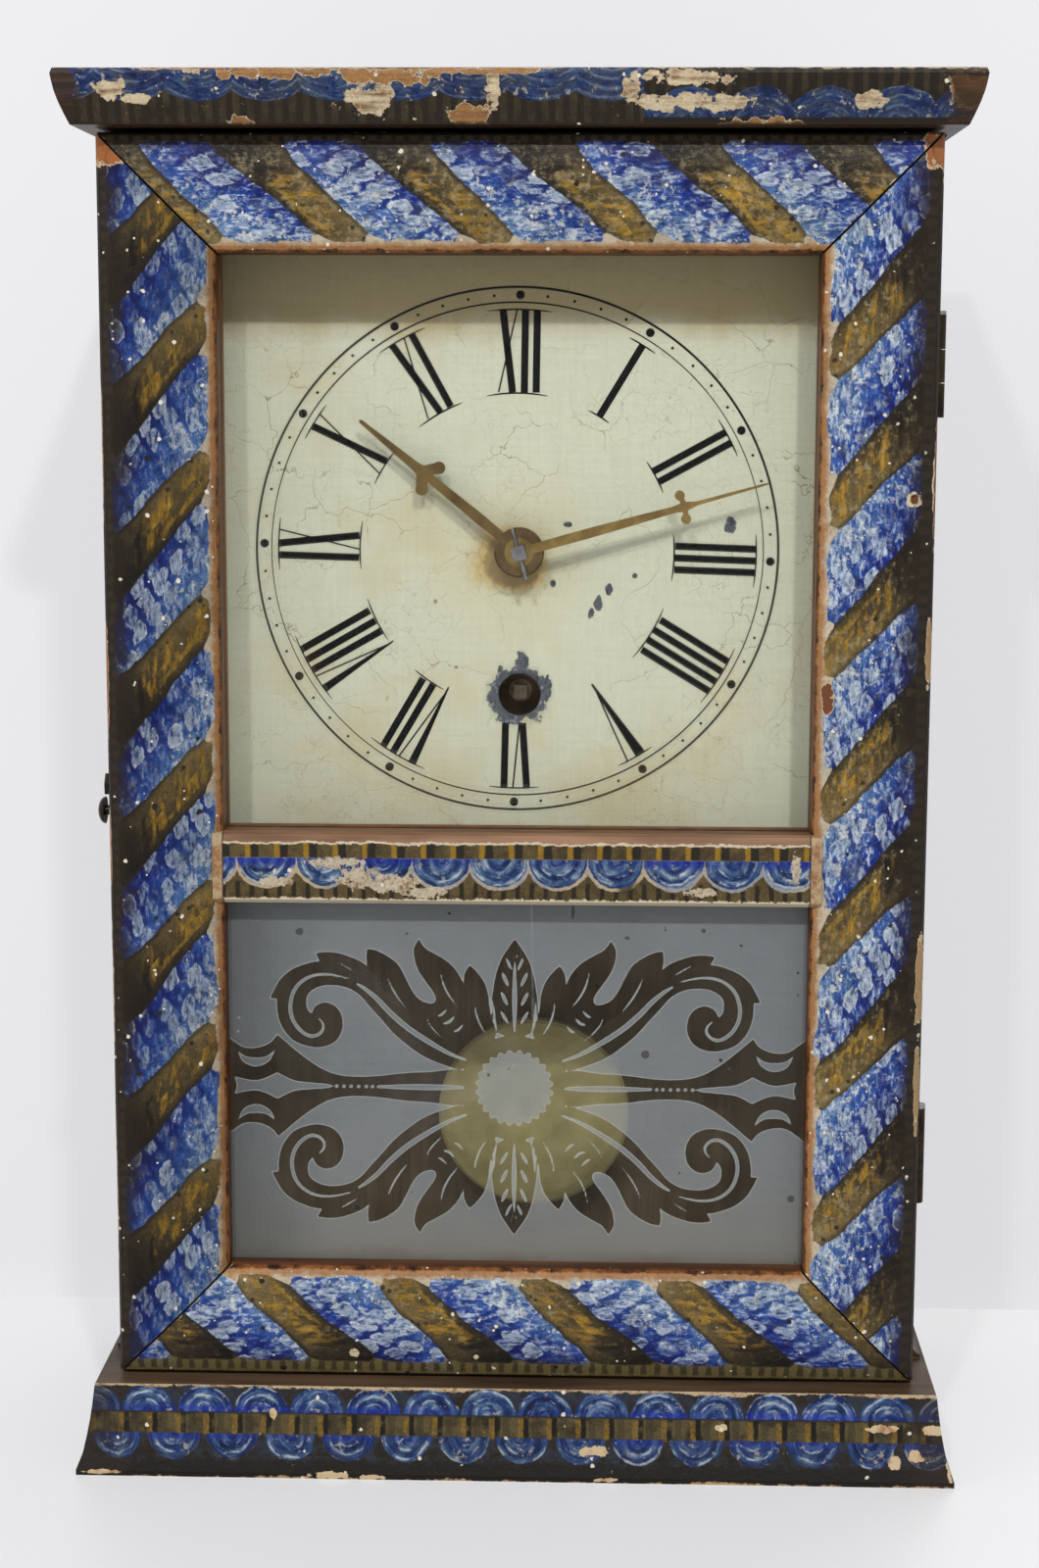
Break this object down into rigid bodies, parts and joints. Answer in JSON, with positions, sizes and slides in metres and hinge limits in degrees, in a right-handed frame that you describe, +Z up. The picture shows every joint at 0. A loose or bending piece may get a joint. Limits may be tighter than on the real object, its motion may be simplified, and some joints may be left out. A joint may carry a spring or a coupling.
{
  "type": "cottage clock",
  "caption": "Shelf clock in a painted wooden case: hinged two-pane door, round dial with Roman numerals, hands, pendulum and going train.",
  "frame": {"origin": "middle of the base, on the surface the clock stands on", "axes": "+Z up, -Y towards the viewer who reads the dial, +X to that viewer's right"},
  "size_m": [0.195, 0.092, 0.305],
  "materials": {
    "painted_moulding": "old oil paint in blue and brown stripes, worn at the edges",
    "case_wood": "dark stained and varnished, worn",
    "pine": "bare, aged",
    "dial_paint": "cream paint on zinc, crazed",
    "clear_glass": "old clear sheet glass",
    "frosted_glass": "frosted, with a clear ornament",
    "dark_iron": "blackened",
    "steel": "grey, aged",
    "hand_brass": "dull, tarnished",
    "brass": "aged"
  },
  "bodies": {
    "case": {"base_front": "painted_moulding", "base_left": "painted_moulding", "base_right": "painted_moulding", "bottom_board": "pine", "left_side": "case_wood", "right_side": "case_wood", "top_board": "case_wood", "back_board": "pine", "cornice_front": "painted_moulding", "cornice_left": "painted_moulding", "cornice_right": "painted_moulding", "glue_blocks": "pine", "hinge_case_leaves": "brass", "hinge_pins": "steel", "latch_screw": "steel", "dial_rails": "pine", "dial": "dial_paint", "dial_nails": "steel", "movement_rails": "pine", "movement_screws": "steel", "front_plate": "brass", "back_plate": "brass", "pillars": "brass", "pillar_pins": "steel", "suspension_cock": "brass", "mainspring": "steel"},
    "door": {"door_top_rail": "painted_moulding", "door_bottom_rail": "painted_moulding", "door_left_stile": "painted_moulding", "door_right_stile": "painted_moulding", "door_cross_rail": "painted_moulding", "dial_glass": "clear_glass", "tablet_glass": "frosted_glass", "glass_strips": "pine", "hinge_door_leaves": "brass", "latch_pin": "dark_iron"},
    "hook": {"latch_hook": "brass"},
    "minute_arbor": {"center_arbor": "steel", "center_wheel": "brass", "minute_hand": "hand_brass", "hand_collet": "hand_brass", "hand_pin": "steel"},
    "hour_pipe": {"hour_wheel": "brass", "hour_hand": "hand_brass"},
    "motion_wheel": {"minute_wheel": "brass"},
    "main_wheel": {"great_wheel": "brass", "click_spring": "steel"},
    "pawl": {"click": "brass"},
    "winding": {"winding_arbor": "steel", "ratchet_wheel": "brass"},
    "third": {"third_arbor": "steel", "third_wheel": "brass"},
    "escape": {"escape_arbor": "steel", "escape_wheel": "brass"},
    "pallets": {"verge": "steel", "crutch": "steel"},
    "pendulum": {"suspension_spring": "steel", "pendulum_rod": "brass", "bob": "brass", "rating_nut": "brass"}
  },
  "joints": [
    {"name": "door_swing", "type": "hinge", "parent": "case", "child": "door", "pos_m": [0.09045, -0.0202, 0.1469], "axis": [0, 0, 1], "range_deg": [0, 105]},
    {"name": "hook_turn", "type": "hinge", "parent": "case", "child": "hook", "pos_m": [-0.08985, 0.0021, 0.1501], "axis": [-1, 0, 0], "range_deg": [-8, 95]},
    {"name": "minute_turn", "type": "hinge", "parent": "case", "child": "minute_arbor", "pos_m": [0, -0.0149, 0.2042], "axis": [0, 1, 0], "continuous": true},
    {"name": "hour_turn", "type": "hinge", "parent": "case", "child": "hour_pipe", "pos_m": [0, -0.0149, 0.2042], "axis": [0, 1, 0], "continuous": true},
    {"name": "minute_wheel_turn", "type": "hinge", "parent": "case", "child": "motion_wheel", "pos_m": [0.01248, -0.0064, 0.2042], "axis": [0, 1, 0], "continuous": true},
    {"name": "great_wheel_turn", "type": "hinge", "parent": "case", "child": "main_wheel", "pos_m": [0, 0.0188, 0.1721], "axis": [0, 1, 0], "continuous": true},
    {"name": "click_lift", "type": "hinge", "parent": "main_wheel", "child": "pawl", "pos_m": [0.0155, 0.0155, 0.1721], "axis": [0, 1, 0], "range_deg": [0, 5], "stiffness_Nm_per_rad": 0.002, "springref_deg": -11.46},
    {"name": "winding_turn", "type": "hinge", "parent": "case", "child": "winding", "pos_m": [0, -0.0064, 0.1721], "axis": [0, 1, 0], "continuous": true},
    {"name": "third_turn", "type": "hinge", "parent": "case", "child": "third", "pos_m": [-0.01652, 0.0188, 0.21641], "axis": [0, 1, 0], "continuous": true},
    {"name": "escape_turn", "type": "hinge", "parent": "case", "child": "escape", "pos_m": [0, 0.0188, 0.2247], "axis": [0, 1, 0], "continuous": true},
    {"name": "pendulum_swing", "type": "hinge", "parent": "case", "child": "pendulum", "pos_m": [0, 0.0286, 0.2402], "axis": [0, 1, 0], "range_deg": [-2.7, 4.3]},
    {"name": "crutch_swing", "type": "hinge", "parent": "case", "child": "pallets", "pos_m": [0, 0.0188, 0.2402], "axis": [0, 1, 0], "range_deg": [-2.7, 4.3]}
  ],
  "couplings": [
    {"joint": "hour_turn", "follows": "minute_turn", "ratio": 0.083333},
    {"joint": "minute_wheel_turn", "follows": "minute_turn", "ratio": -0.33333},
    {"joint": "great_wheel_turn", "follows": "minute_turn", "ratio": -0.16667},
    {"joint": "third_turn", "follows": "minute_turn", "ratio": -10.286},
    {"joint": "escape_turn", "follows": "minute_turn", "ratio": 102.86},
    {"joint": "crutch_swing", "follows": "pendulum_swing", "ratio": 1}
  ]
}
